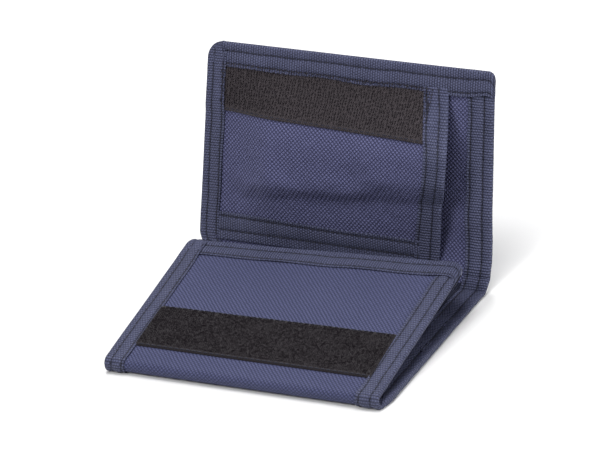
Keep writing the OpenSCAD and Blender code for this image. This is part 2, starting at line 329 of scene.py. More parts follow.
def two_skins(name, strip, x, s, low, high, material, open_ends=(False, False), keep=None):
    """A sheet with thickness between heights low and high, over a grid of x and s. keep says which
    cells of the grid are there, and open_ends which ends meet the next strip."""
    rows, cols = x.shape
    faces = grid_faces(rows, cols)
    if keep is not None:
        faces = faces[keep.ravel()]
    count = rows * cols
    open_points = set()
    if open_ends[0]:
        open_points |= set(range(cols))
    if open_ends[1]:
        open_points |= set(range(count - cols, count))
    walls = border_walls(faces, count, open_points)
    points = np.concatenate([strip.place(x, s, high).reshape(-1, 3), strip.place(x, s, low).reshape(-1, 3)])
    uv = np.stack([x, s + strip.uv_start], axis=-1).reshape(-1, 2)
    uv = np.concatenate([uv, uv])
    everything = np.concatenate([faces, faces[:, ::-1] + count, walls])
    return mesh_piece(name, points, everything, uv, material)


def panel(name, strip, low, high, inset, corner, material, open_ends, step=2.4):
    """A sheet from edge to edge of a strip, with rounded corners at its far end."""
    last = strip.ends[1] - (0 if open_ends[1] else inset)
    s = strip.stations(strip.ends[0], last, step)
    if corner:
        s = np.unique(np.concatenate([s, last - corner * (1 - np.cos(np.linspace(0, 1.5, 8)))]))
    left, right = strip.edges(s)
    drop = corner_drop(last - s, corner)
    share = np.linspace(0, 1, int(2 * MIDDLE_HALF / step))[None, :]
    x = between((left + inset + drop)[:, None], (right - inset - drop)[:, None], share)
    s = s[:, None] + 0 * x
    return two_skins(name, strip, x, s, low, high, material, open_ends)


# Cross-section of one leg of a tape, from its free edge to its folded edge: the share of the leg's
# width, the height of its skin there, in mm, and how deep in a stitch row's groove that point is.
# That depth becomes painted shade on the tape's colour, in the grooves and along the free edge's lip.
LEG_SHARES = np.array([1, 0.985, 0.95, 0.905, 0.88, 0.86, 0.84, 0.815, 0.74, 0.61, 0.48, 0.405,
                       0.38, 0.36, 0.34, 0.315, 0.24, 0.17])
LEG_HEIGHTS = np.array([0.38, 0.50, 0.54, 0.44, 0.33, 0.28, 0.33, 0.44, 0.60, 0.68, 0.60, 0.44,
                        0.33, 0.28, 0.33, 0.44, 0.62, 0.66])
LEG_HOLLOWS = np.array([0.45, 0.0, 0.0, 0.1, 0.75, 1.0, 0.75, 0.1, 0.0, 0.0, 0.0, 0.1,
                        0.75, 1.0, 0.75, 0.1, 0.0, 0.0])


class Tape:
    """A tape folded over an edge of a panel. It runs through stations; (edge_x, edge_s) is the
    folded edge there, inward the direction from it over the panel and width its legs' width.
    low and high give the heights of the sheets that it holds, as functions of x and s."""

    def __init__(self, strip, stations, edge_x, edge_s, inward, width, low, high, seed):
        self.strip, self.inward, self.low, self.high = strip, inward, low, high
        self.stations = stations
        self.edge_x, self.edge_s = edge_x + 0 * stations, edge_s + 0 * stations
        wave = waves(seed, 26)
        self.width = (width + 0 * stations) * (1 + 0.028 * wave(stations, 0))
        self.lip = 0.22 * np.clip(wave(stations, 40) + 0.2, 0, None)
        self.wander = 0.016 * waves(seed + 100, 17)(stations, 0)
        self.pinch = 1 + 0 * stations

    def rim(self):
        """Depth of the rounded part along the folded edge."""
        return np.minimum(0.95, 0.17 * self.width)

    def skin(self, inner):
        """x, s, v and the distance across the tape, for its outer or inner skin."""
        width, rim = self.width[:, None], self.rim()[:, None]
        shares = LEG_SHARES[None, :]
        wandering = shares + self.wander[:, None] * ease(shares, 0.17, 0.3) * (1 - ease(shares, 0.9, 1))
        depth = np.maximum(width * wandering, rim)
        thick = 0 * depth if inner else LEG_HEIGHTS[None, :] + self.lip[:, None] * ease(shares, 0.88, 1)
        lift = self.lip[:, None] * ease(shares, 0.88, 1) * 0.8 if inner else 0
        turn = np.radians(np.linspace(-80, 80, 9))[None, :]
        inset = 0.35 if inner else 0
        round_depth = rim - (rim - inset) * np.cos(turn)
        x_leg, s_leg = self.spot(depth)
        x_rim, s_rim = self.spot(round_depth)
        x_in, s_in = self.spot(rim)
        bottom = self.low(x_in, s_in) - (0 if inner else RIM_BULGE)
        top = self.high(x_in, s_in) + (0 if inner else RIM_BULGE)
        v_rim = (bottom + top) / 2 + (top - bottom) / 2 * np.sin(turn)
        outer_leg = self.low(x_leg, s_leg) - thick - lift
        inner_leg = self.high(x_leg, s_leg) + thick + lift
        x = np.concatenate([x_leg, x_rim, x_leg[:, ::-1]], axis=1)
        s = np.concatenate([s_leg, s_rim, s_leg[:, ::-1]], axis=1)
        v = np.concatenate([outer_leg, v_rim, inner_leg[:, ::-1]], axis=1)
        middle = (bottom + top) / 2
        v = middle + (v - middle) * self.pinch[:, None]
        return x, s, v, np.concatenate([-depth, round_depth * 0 + turn * 0.6, depth[:, ::-1]], axis=1)

    def spot(self, depth):
        """x and s at a depth in from the folded edge."""
        return (self.edge_x[:, None] + self.inward[0] * depth,
                self.edge_s[:, None] + self.inward[1] * depth)

    def piece(self, name, material, open_ends=(False, False)):
        """The tape as one mesh; open_ends says which ends meet the next strip's tape."""
        x, s, v, across = self.skin(inner=False)
        x_in, s_in, v_in, _ = self.skin(inner=True)
        rows, cols = x.shape
        faces = grid_faces(rows, cols)
        count = rows * cols
        open_points = set(range(cols)) if open_ends[0] else set()
        if open_ends[1]:
            open_points |= set(range(count - cols, count))
        walls = border_walls(faces, count, open_points)
        points = np.concatenate([self.strip.place(x, s, v).reshape(-1, 3),
                                 self.strip.place(x_in, s_in, v_in).reshape(-1, 3)])
        uv = np.stack([across, self.stations[:, None] + 0 * across], axis=-1).reshape(-1, 2)
        uv = np.concatenate([uv, uv])
        everything = np.concatenate([faces, faces[:, ::-1] + count, walls])
        # Painted shade: the grooves and the free edge's lip are darkened through the hollow attribute, and
        # the inner skin, which lies against the panel, gets the most painted shade, as do the walls under
        # the lips.
        leg = LEG_HOLLOWS[None, :] + 0 * self.width[:, None]
        rim_hollow = np.zeros((rows, cols - 2 * leg.shape[1]))
        hollow = np.concatenate([leg, rim_hollow, leg[:, ::-1]], axis=1).ravel()
        hollow = np.concatenate([hollow, 0 * hollow + 1])
        return mesh_piece(name, points, everything, uv, material, hollow)

    def row(self, share, face, at):
        """x, s and v on the tape's skin in a stitch row, at stations: face is 1 inside, -1 outside."""
        width = np.interp(at, self.stations, self.width)
        share = share + np.interp(at, self.stations, self.wander)
        x = np.interp(at, self.stations, self.edge_x) + self.inward[0] * width * share
        s = np.interp(at, self.stations, self.edge_s) + self.inward[1] * width * share
        base = self.high(x, s) if face > 0 else self.low(x, s)
        return x, s, base + face * 0.3


def level(height):
    """A function of x and s that is the same height everywhere."""
    return lambda x, s: height + 0 * x + 0 * s


def tubes(name, centres, radii, reference, material, sides=6):
    """Many short tubes as one mesh. centres holds each tube's line of points in metres, radii the
    radius in mm at each of those points, and reference a direction each tube isn't along."""
    count, rings, _ = centres.shape
    tangent = np.gradient(centres, axis=1)
    tangent /= np.linalg.norm(tangent, axis=2, keepdims=True) + 1e-12
    side = np.cross(tangent, reference[:, None, :])
    side /= np.linalg.norm(side, axis=2, keepdims=True) + 1e-12
    other = np.cross(tangent, side)
    turn = np.linspace(0, 2 * math.pi, sides, endpoint=False)
    ring = (side[:, :, None, :] * np.cos(turn)[None, None, :, None]
            + other[:, :, None, :] * np.sin(turn)[None, None, :, None])
    points = centres[:, :, None, :] + ring * (np.asarray(radii) * MM)[None, :, None, None]
    index = np.arange(count * rings * sides).reshape(count, rings, sides)
    a, b = index[:, :-1, :], index[:, 1:, :]
    faces = np.stack([a, np.roll(a, -1, 2), np.roll(b, -1, 2), b], axis=-1).reshape(-1, 4)
    uv = np.stack(np.broadcast_arrays(turn[None, None, :] / 6, np.arange(rings)[None, :, None] * 0.6,
                                      np.arange(count)[:, None, None] * 0.37), axis=-1)
    uv = uv[..., :2] + uv[..., 2:]
    return mesh_piece(name, points.reshape(-1, 3), faces, uv.reshape(-1, 2), material)


class Seam:
    """Collects rows of stitches on one strip, which end up as one piece of thread."""

    def __init__(self, strip):
        self.strip, self.lines, self.normals = strip, [], []

    def add(self, row, start, end, face, pitch=STITCH_PITCH, length=STITCH_LENGTH):
        """Stitches from start to end along row(at), which gives x, s and v; face is their side."""
        count = int((end - start) / pitch)
        if count < 1:
            return
        first = start + (end - start - count * pitch + pitch - length) / 2 + pitch * np.arange(count)
        first = first + RNG.normal(0, 0.06, count)
        share = np.linspace(0, 1, 6)
        at = first[:, None] + share[None, :] * length
        rise = np.array([-0.16, 0.04, 0.13, 0.13, 0.04, -0.16])
        x, s, v = row(at)
        self.lines.append(self.strip.place(x, s, v + face * rise))
        middle = at.mean(axis=1)
        x, s, v = row(middle)
        self.normals.append(self.strip.place(x, s, v + face) - self.strip.place(x, s, v))

    def add_tape(self, tape, start=None, end=None, faces=(1, -1)):
        """Both stitch rows of a tape, on its inside (1) and its outside (-1)."""
        start = tape.stations[0] if start is None else start
        end = tape.stations[-1] if end is None else end
        for face in faces:
            for share in ROWS:
                self.add(lambda at: tape.row(share, face, at), start, end, face)

    def piece(self, name, material):
        """All the stitches as one mesh."""
        lines, normals = np.concatenate(self.lines), np.concatenate(self.normals)
        radii = THREAD_RADIUS * np.array([0.6, 0.95, 1, 1, 0.95, 0.6])
        return tubes(name, lines, radii, normals, material)


# ---- materials ----------------------------------------------------------------------------------

class Graph:
    """A material's node tree, with short ways to write sums on its sockets."""

    def __init__(self, name):
        self.material = bpy.data.materials.new(name)
        self.material.use_nodes = True
        self.nodes, self.links = self.material.node_tree.nodes, self.material.node_tree.links
        self.shader = self.nodes["Principled BSDF"]

    def add(self, kind, **settings):
        """A new node."""
        node = self.nodes.new(kind)
        for key, value in settings.items():
            setattr(node, key, value)
        return node

    def put(self, value, socket):
        """Links a socket, or sets it to a number or colour."""
        if isinstance(value, bpy.types.NodeSocket):
            self.links.new(value, socket)
        else:
            socket.default_value = value

    def math(self, operation, a, b=0.0, c=0.0):
        """The result of a sum on up to three values."""
        node = self.add("ShaderNodeMath", operation=operation)
        for value, socket in zip((a, b, c), node.inputs):
            self.put(value, socket)
        return node.outputs[0]

    def ridges(self, value, rate):
        """Rounded ridges from 0 to 1, one for each pi / rate of value."""
        return self.math("ABSOLUTE", self.math("SINE", self.math("MULTIPLY", value, rate)))

    def limited(self, value):
        """A value kept between 0 and 1."""
        return self.math("MINIMUM", self.math("MAXIMUM", value, 0.0), 1.0)

    def roughened(self, height, noise, depth):
        """A height with noise of the given depth on it."""
        return self.math("MULTIPLY_ADD", self.math("SUBTRACT", noise, 0.5), depth, height)

    def uv(self):
        """Both coordinates of the uv, in mm."""
        split = self.add("ShaderNodeSeparateXYZ")
        self.links.new(self.add("ShaderNodeUVMap", uv_map="UVMap").outputs[0], split.inputs[0])
        return split.outputs[0], split.outputs[1]

    def noise(self, scale, detail=2.0):
        """Noise over the uv, with scale in waves per mm."""
        node = self.add("ShaderNodeTexNoise")
        self.links.new(self.add("ShaderNodeUVMap", uv_map="UVMap").outputs[0], node.inputs["Vector"])
        node.inputs["Scale"].default_value = scale
        node.inputs["Detail"].default_value = detail
        return node.outputs[0]

    def mix(self, share, a, b):
        """A colour between a, at share 0, and b, at share 1."""
        node = self.add("ShaderNodeMix", data_type="RGBA")
        self.put(share, node.inputs[0])
        self.put(a, node.inputs[6])
        self.put(b, node.inputs[7])
        return node.outputs[2]

    def bump(self, height, depth, strength=1.0):
        """Tilts the surface by a height from 0 to 1 that stands for depth in mm."""
        node = self.add("ShaderNodeBump")
        node.inputs["Distance"].default_value = depth * MM
        node.inputs["Strength"].default_value = strength
        self.put(height, node.inputs["Height"])
        self.links.new(node.outputs[0], self.shader.inputs["Normal"])

    def finish(self, colour, roughness, sheen=0.0, sheen_roughness=0.4, specular=0.5):
        """The material, once its colour, roughness, sheen and specular level are set."""
        self.put(colour, self.shader.inputs["Base Color"])
        self.put(roughness, self.shader.inputs["Roughness"])
        self.shader.inputs["Sheen Weight"].default_value = sheen
        self.shader.inputs["Sheen Roughness"].default_value = sheen_roughness
        self.shader.inputs["Specular IOR Level"].default_value = specular
        return self.material


def colour(r, g, b, factor=1.0):
    """A colour from its linear red, green and blue."""
    return (r * factor, g * factor, b * factor, 1.0)


def woven(name, thread, gap, worn, pitch, slant, beading):
    """Cloth of coarse threads whose short floats line up in slanting ribs, pitch mm apart. slant is
    1 or -1, beading how deeply the threads crossing the ribs cut them up, worn a lighter colour."""
    g = Graph(name)
    u, w = g.uv()
    u = g.math("MULTIPLY_ADD", g.noise(0.10), 1.2, u)
    u = g.math("MULTIPLY_ADD", g.noise(0.7), 0.5, u)
    turn = math.pi / pitch
    slanted = g.math("MULTIPLY_ADD", w, slant * 0.97, u)
    rib = g.ridges(slanted, turn)
    crossed = g.math("MULTIPLY_ADD", w, slant * -1.06, u)
    bead = g.ridges(crossed, turn)
    beads = g.math("MULTIPLY_ADD", bead, beading, 1 - beading)
    height = g.math("MULTIPLY", g.math("POWER", rib, 0.9), beads)
    height = g.roughened(height, g.noise(2.2, 3.0), 0.9)
    broad = g.noise(0.028, 3.0)
    shade = g.mix(g.limited(height), gap, thread)
    wear = g.math("MULTIPLY", g.math("SUBTRACT", broad, 0.35), 0.9)
    shade = g.mix(g.math("MULTIPLY", wear, height), shade, worn)
    g.bump(height, 0.35, 1.0)
    return g.finish(shade, g.math("MULTIPLY_ADD", height, -0.12, 0.72), 0.02, 0.45, 0.16)


def ribbed(name, thread, gap, rib, across_pitch, roughness):
    """Grosgrain tape: ribs across the tape, each of many threads side by side that are set off by
    half from rib to rib. Shade is painted into its colour in the grooves of the stitches, most at the
    needle holes."""
    g = Graph(name)
    u, w = g.uv()
    w = g.math("MULTIPLY_ADD", g.noise(0.25), 0.4, w)
    ribs = g.ridges(w, math.pi / rib)
    offset = g.math("MULTIPLY", g.math("FLOOR", g.math("DIVIDE", w, rib)), 0.5)
    threads = g.ridges(g.math("MULTIPLY_ADD", u, 1 / across_pitch, offset), math.pi)
    rounded = g.math("MULTIPLY_ADD", threads, 0.6, 0.4)
    height = g.math("MULTIPLY", rounded, g.math("POWER", ribs, 0.9))
    height = g.roughened(height, g.noise(1.6, 3.0), 0.7)
    shade = g.mix(g.limited(height), gap, thread)
    patches = g.noise(0.09, 2.0)
    shade = g.mix(g.math("MULTIPLY", patches, 0.35), shade, colour(*thread[:3], 1.6))
    # Painted shade: where the hollow attribute marks a groove, the colour goes towards the gap colour,
    # darkest at the needle holes.
    hollow = g.add("ShaderNodeAttribute", attribute_name="hollow").outputs["Fac"]
    holes = g.math("ABSOLUTE", g.math("COSINE", g.math("MULTIPLY", w, math.pi / STITCH_PITCH)))
    painted_groove_shade = g.math("MULTIPLY", hollow, g.math("MULTIPLY_ADD", g.math("POWER", holes, 3.0), 0.35, 0.62))
    shade = g.mix(painted_groove_shade, shade, gap)
    g.bump(height, 0.42, 1.0)
    return g.finish(shade, roughness, 0.02, 0.35, 0.18)


def spun(name, base, light, roughness, specular=0.35):
    """Twisted sewing thread, or a plastic filament, with fine lengthwise variation."""
    g = Graph(name)
    u, w = g.uv()
    twist = g.math("SINE", g.math("MULTIPLY_ADD", w, 9.0, g.math("MULTIPLY", u, 6.0)))
    shade = g.mix(g.math("MULTIPLY_ADD", twist, 0.3, 0.4), base, light)
    g.bump(g.math("MULTIPLY_ADD", twist, 0.5, g.noise(1.5)), 0.05, 0.5)
    return g.finish(shade, roughness, 0.03, 0.4, specular)


def tape_ground(name, base, light, scale):
    """The close woven ground of hook tape or loop tape."""
    g = Graph(name)
    u, w = g.uv()
    checks = g.math("MULTIPLY", g.math("SINE", g.math("MULTIPLY", u, math.pi / scale)),
                    g.math("SINE", g.math("MULTIPLY", w, math.pi / scale)))
    height = g.math("MULTIPLY_ADD", checks, 0.5, g.noise(1.1, 4.0))
    shade = g.mix(g.math("MINIMUM", g.math("MULTIPLY", height, 0.8), 1.0), base, light)
    g.bump(height, 0.2, 0.8)
    return g.finish(shade, 0.75, 0.05, 0.5, 0.25)


def clear_film(name):
    """The window's clear plastic, slightly rippled."""
    g = Graph(name)
    ripple = g.noise(0.05, 2.0)
    g.bump(ripple, 0.6, 0.3)
    g.shader.inputs["Alpha"].default_value = 0.32
    tint = g.mix(ripple, colour(0.72, 0.78, 0.84), colour(0.86, 0.9, 0.94))
    return g.finish(tint, 0.14, 0.0, 0.3, 0.6)


def paper(name):
    """The pale floor."""
    g = Graph(name)
    where = g.add("ShaderNodeNewGeometry").outputs["Position"]
    grain = g.add("ShaderNodeTexNoise")
    g.links.new(where, grain.inputs["Vector"])
    grain.inputs["Scale"].default_value = 60
    return g.finish(g.mix(grain.outputs[0], colour(0.77, 0.77, 0.77), colour(0.80, 0.80, 0.80)), 0.9)


# NAVY is the same navy cloth as NAVY_OUTER, with its threads painted about half as bright again: painted
# light that lifts the cover's inner face and its pocket, which take less of the lamps' light than the flap.
NAVY = woven("navy_weave", colour(0.122, 0.127, 0.250), colour(0.024, 0.025, 0.060),
             colour(0.144, 0.150, 0.282), 1.78, -1, 1.0)
NAVY_OUTER = woven("navy_weave_outside", colour(0.082, 0.090, 0.184), colour(0.024, 0.027, 0.062),
                   colour(0.088, 0.095, 0.184), 1.70, 1, 0.85)
LINING = woven("dark_lining", colour(0.034, 0.037, 0.070), colour(0.008, 0.009, 0.018),
               colour(0.044, 0.048, 0.082), 0.9, 1, 0.6)
TAPE = ribbed("grosgrain", colour(0.080, 0.087, 0.156), colour(0.002, 0.002, 0.006), 1.1, 1.1, 0.52)
THREAD = spun("thread", colour(0.006, 0.006, 0.014), colour(0.022, 0.024, 0.046), 0.6)
HOOK_GROUND = tape_ground("hook_ground", colour(0.016, 0.012, 0.014), colour(0.070, 0.058, 0.066), 0.5)
HOOKS = spun("hooks", colour(0.014, 0.011, 0.014), colour(0.042, 0.033, 0.042), 0.45)
LOOP_GROUND = tape_ground("loop_ground", colour(0.005, 0.004, 0.005), colour(0.020, 0.015, 0.020), 0.5)
LOOPS = spun("loops", colour(0.005, 0.0033, 0.005), colour(0.021, 0.014, 0.021), 0.85, 0.08)
VINYL = clear_film("clear_vinyl")
FLOOR = paper("floor")


# ---- outer fabric and lining, from the middle panel round both folds --------------------------------

def hook_low(x):
    """Lower edge of the hook tape, which isn't sewn on quite straight."""
    return between(55.8, 53.4, (x - HOOK_LEFT) / (HOOK_RIGHT - HOOK_LEFT))


def hook_high(x):
    """Upper edge of the hook tape."""
    return between(76.2, 75.4, (x - HOOK_LEFT) / (HOOK_RIGHT - HOOK_LEFT))


def over_hooks(x, s):
    """How far the hook tape lifts the tapes that lie over its ends and its top."""
    return 0.55 * ease(s - hook_low(x), -1.5, 1.5) * (1 - ease(x, HOOK_RIGHT - 0.5, HOOK_RIGHT + 3))


def inner_high(strip):
    """Height of what the tapes hold on the inside of a strip."""
    if strip is COVER:
        return lambda x, s: 0.35 + 0.5 * ease(s, 2, 14) * (1 - ease(x, 44, 50)) + over_hooks(x, s)
    if strip is REAR:
        return lambda x, s: 0.4 + 0.45 * ease(-s, 21.5, 25) + 0.35 * ease(-s, 39.5, 43)
    if strip is FRONT:
        return lambda x, s: 0.4 + 0.8 * ease(-s, 1, 5)
    return level(0.4)


def build_panels():
    """Both layers of each strip."""
    for strip in STRIPS:
        corner = strip.corners[0]
        ends = (True, not corner)
        shell = panel(strip.name + "_fabric", strip, FABRIC_LOW, FABRIC_HIGH, FABRIC_INSET, corner,
                      NAVY_OUTER, ends)
        strip.fix(shell, [part + "_shell" for part in strip.parts], "outer_fabric")
        cloth = NAVY if strip is COVER else LINING
        inside = panel(strip.name + "_lining", strip, LINING_LOW, LINING_HIGH, LINING_INSET, corner,
                       cloth, ends)
        strip.fix(inside, [part + "_lining" for part in strip.parts], "lining")


def side_tape(strip, side, width, seed, corner, raised):
    """The tape along the left (-1) or right (1) edge of a strip. raised says how much higher it lies
    near the strip's far end, where it goes over or under the tape there."""
    last = strip.ends[1]
    stations = strip.stations(strip.ends[0], last, 1.3)
    if corner:
        stations = np.unique(np.concatenate([stations, np.linspace(last - corner, last, 12)]))
    left, right = strip.edges(stations)
    drop = corner_drop(last + 0.1 - stations, corner)
    edge = left + drop if side < 0 else right - drop
    high = inner_high(strip)

    def over_end(s):
        return raised * ease(s, last - 14, last - 9)

    def inner(x, s):
        return high(x, s) + over_end(s)

    def outer(x, s):
        return FABRIC_LOW - 0.02 - over_end(s) + 0 * x

    tape = Tape(strip, stations, edge, stations, (-side, 0), width - drop, outer, inner, seed)
    if corner:
        tape.pinch = np.sqrt(1 - np.clip(1 - (stations[-1] - stations) / 0.6, 0, 0.9) ** 2)
    return tape


def end_tape(strip, x_from, x_to, width, mitre, seed, raised):
    """The tape along the far end of a strip, from x_from to x_to. At its right end it narrows to a
    share of its width, mitre, and raised(x) says how much higher it lies there."""
    left, right = (float(e) for e in strip.edges(np.array(strip.ends[1])))
    left_corner, right_corner = strip.corners
    stations = np.linspace(x_from, x_to, int((x_to - x_from) / 1.3))
    round_the_corner = x_to - right_corner * (1 - np.cos(np.linspace(0, 1.45, 9)))
    stations = np.unique(np.concatenate([stations, round_the_corner]))
    drop = corner_drop(right - stations, right_corner) + corner_drop(stations - left, left_corner)
    high = inner_high(strip)

    def inner(x, s):
        return high(x, s) + 0.05 + raised(x)

    def outer(x, s):
        return FABRIC_LOW - 0.03 - raised(x)

    width = width * between(1, mitre, np.clip((stations - x_to + MITRE_LENGTH) / MITRE_LENGTH, 0, 1))
    if strip is COVER:
        width = width * between(1, 1.13, (stations - x_from) / (x_to - x_from))
    tape = Tape(strip, stations, stations, strip.ends[1] - drop, (0, -1), width, outer, inner, seed)
    tape.pinch = np.sqrt(1 - np.clip(1 - (stations[-1] - stations) / 1.8, 0, 0.9) ** 2)
    return tape


def build_edge_tapes():
    """The folded tapes round every edge, and their stitches."""
    seams = {strip.name: Seam(strip) for strip in STRIPS}
    seed = 21
    for strip in STRIPS:
        joined_to = strip in (REAR, FRONT)
        for side, word, width in ((-1, "left", LEFT_TAPE), (1, "right", RIGHT_TAPE)):
            if strip is FRONT:
                width = between(width, FLAP_TAPE, 0.5)
            if strip is FLAP:
                width = FLAP_TAPE
            corner = strip.corners[0 if side < 0 else 1]
            raised = 0.0
            if not joined_to:
                raised = 0.3 if side < 0 else -0.25
            tape = side_tape(strip, side, width, seed, corner, raised)
            fit_to_next(strip, side, corner, tape)
            piece = tape.piece(strip.name + "_" + word + "_tape", TAPE, (True, joined_to))
            nodes = [part + "_" + word + "_binding" for part in strip.parts]
            strip.fix(piece, nodes, "binding_tape")
            seams[strip.name].add_tape(tape, end=strip.ends[1] - (0 if joined_to else 9))
            seed += 1
    top = end_tape(COVER, COVER_LEFT + 2.5, COVER_RIGHT, TOP_TAPE, 0.85, 29,
                   lambda x: 0.5 * ease(x, 46, 53))
    ride(top.piece("cover_top_tape", TAPE), "cover", ["cover_top_binding"])
    seams["cover"].add_tape(top, COVER_LEFT + LEFT_TAPE + 0.8, COVER_RIGHT - 9)
    rear = end_tape(FLAP, FLAP_LEFT + 2.5, FLAP_RIGHT, FLAP_TAPE, 0.9, 30,
                    lambda x: 0.3 * ease(x, 48, 53))
    ride(rear.piece("flap_rear_tape", TAPE), "flap", ["flap_rear_binding"])
    seams["flap"].add_tape(rear, FLAP_LEFT + FLAP_TAPE + 1, FLAP_RIGHT - 8)
    return seams


def fit_to_next(strip, side, corner, tape):
    """Sets a side tape's width and lip, which are the same as the next strip's where they meet."""
    s = tape.stations
    ripple = tape.width / tape.width.mean()
    middle = LEFT_TAPE if side < 0 else RIGHT_TAPE
    if strip is FRONT:
        width = between(middle, (middle + FLAP_TAPE) / 2, ease(s, -8, FRONT_SPINE_HALF))
    elif strip is FLAP:
        width = between((middle + FLAP_TAPE) / 2, FLAP_TAPE, ease(s, -FRONT_SPINE_HALF, 8))
    else:
        width = middle + 0 * s
    width = width - corner_drop(strip.ends[1] + 0.1 - s, corner)
    settled = ease(abs(s - strip.ends[0]), 0, 6)
    if strip in (REAR, FRONT):
        settled = settled * ease(strip.ends[1] - s, 0, 6)
    tape.lip = tape.lip * settled
    tape.width = width * between(1, ripple, settled)


# ---- the cover's pocket and its hook tape -----------------------------------------------------------

pocket_wave = waves(9, 38)


def pocket_height(x, s):
    """Height of the pocket's cloth: it is sewn down at its left and top, and stands off the cover
    towards its open edge, where it bulges above a soft crease."""
    held = 1 - ease(s, 45, 77)
    fade = np.exp((x - POCKET_SIDE) / 42)
    crease = POCKET_CREASE + 0.09 * (x - POCKET_SIDE)
    base = (0.8 * ease(s, 1, 7) + 6.6 * np.clip((s - 4) / 24, 0, 1)) * (0.8 + 0.2 * fade)
    fold = np.sin(math.pi / 2 * np.clip((s - crease) / 10, 0, 1)) * (1.6 + 5.2 * fade)
    dent = 0.6 * np.exp(-((s - crease) / 2.0) ** 2) * fade
    sewn = ease(x, COVER_LEFT + 8, COVER_LEFT + 34)
    ripple = 0.25 * pocket_wave(x, s) * ease(s, 4, 14)
    return 0.75 + sewn * held * (base + fold - dent + ripple)


def pocket_under(x, s):
    """Height of what the pocket's tapes hold, on the side towards the cover."""
    return pocket_height(x, s) - POCKET_CLOTH - 0.02


def pocket_over(x, s):
    """The same on the side away from the cover."""
    return pocket_height(x, s) + 0.02


def under_side_tape(x, s):
    """Height that the inner leg of the pocket's side tape lies on."""
    return pocket_over(x, s) + over_hooks(x, s)


def under_bottom_tape(x, s):
    """The same for its bottom tape."""
    return pocket_over(x, s) - 0.1


def hook_surface(x, s):
    """Height that the hooks stand on."""
    return pocket_over(x, s) + 0.6


def pocket_edge(s):
    """x of the pocket's open edge, which leans out where the cloth bulges."""
    lean = 0.57 * (pocket_height(POCKET_SIDE, s) - 6.0)
    kink = 0.3 * ease(s, POCKET_CREASE - 0.6, POCKET_CREASE)
    return POCKET_SIDE - 1.0 + lean + 1.5 * ease(s, 20, 76) + kink


def patch(name, strip, x_from, x_to, s_from, s_to, low, high, material, step=1.6, hole=None):
    """A rectangle of cloth between two heights given as functions of x and s, with or without a hole."""
    x = np.linspace(x_from, x_to, max(3, int((x_to - x_from) / step)))
    s = np.linspace(s_from, s_to, max(3, int((s_to - s_from) / step)))
    keep = None
    if hole:
        x = np.unique(np.concatenate([x, hole[:2]]))
        s = np.unique(np.concatenate([s, hole[2:]]))
        inside_x = (x[:-1] >= hole[0]) & (x[1:] <= hole[1])
        inside_s = (s[:-1] >= hole[2]) & (s[1:] <= hole[3])
        keep = ~(inside_s[:, None] & inside_x[None, :])
    x, s = np.meshgrid(x, s)
    return two_skins(name, strip, x, s, low(x, s), high(x, s), material, keep=keep)


def hang_slack(x, s, height):
    """The pocket's cloth after a cloth simulation: cut a little large and held under its tapes and
    the hook tape, it settles between them under its own weight. Returns new x, s and height."""
    scene = bpy.context.scene
    mesh = bpy.data.meshes.new("pocket_slack")
    points = np.stack([x, s, height], axis=-1).reshape(-1, 3) * SIM_SCALE
    mesh.from_pydata(points.tolist(), [], grid_faces(*x.shape).tolist())
    cloth = bpy.data.objects.new("pocket_slack", mesh)
    scene.collection.objects.link(cloth)
    free = ease(x, -56, -49) * (1 - ease(x, 23, 30)) * ease(s, 14, 22) * (1 - ease(s, 34, 52))
    group = cloth.vertex_groups.new(name="held")
    for index, held in enumerate((1 - free).ravel().tolist()):
        group.add([index], held, "REPLACE")
    cloth_settings = cloth.modifiers.new("settle", "CLOTH").settings
    cloth_settings.quality = 6
    cloth_settings.mass = 0.1
    cloth_settings.tension_stiffness = cloth_settings.compression_stiffness = 20
    cloth_settings.bending_stiffness = 100
    cloth_settings.air_damping = 3
    cloth_settings.shrink_min = -SLACK
    cloth_settings.vertex_group_mass = "held"
    cloth.modifiers["settle"].collision_settings.use_collision = False
    cloth.modifiers["settle"].point_cache.frame_end = SIM_FRAMES
    gravity = scene.gravity.copy()
    lean = COVER.angle_out
    scene.gravity = (0, -9.81 * math.sin(lean), -9.81 * math.cos(lean))
    for step in range(1, SIM_FRAMES + 1):
        scene.frame_set(step)
    hung = cloth.evaluated_get(bpy.context.evaluated_depsgraph_get()).to_mesh()
    after = np.empty(len(hung.vertices) * 3)
    hung.vertices.foreach_get("co", after)
    scene.frame_set(1)
    scene.gravity = gravity
    bpy.data.objects.remove(cloth)
    bpy.data.meshes.remove(mesh)
    return (after.reshape(x.shape + (3,)) / SIM_SCALE).transpose(2, 0, 1)


def flatten_with_cover(piece):
    """Gives a piece of the pocket its own copy of its mesh."""
    left, right, top = (Vector(COVER.place(x, s, 1.1)) for x, s in ((-58, 5), (55, 5), (-2, 78)))
    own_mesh(piece)
    return piece


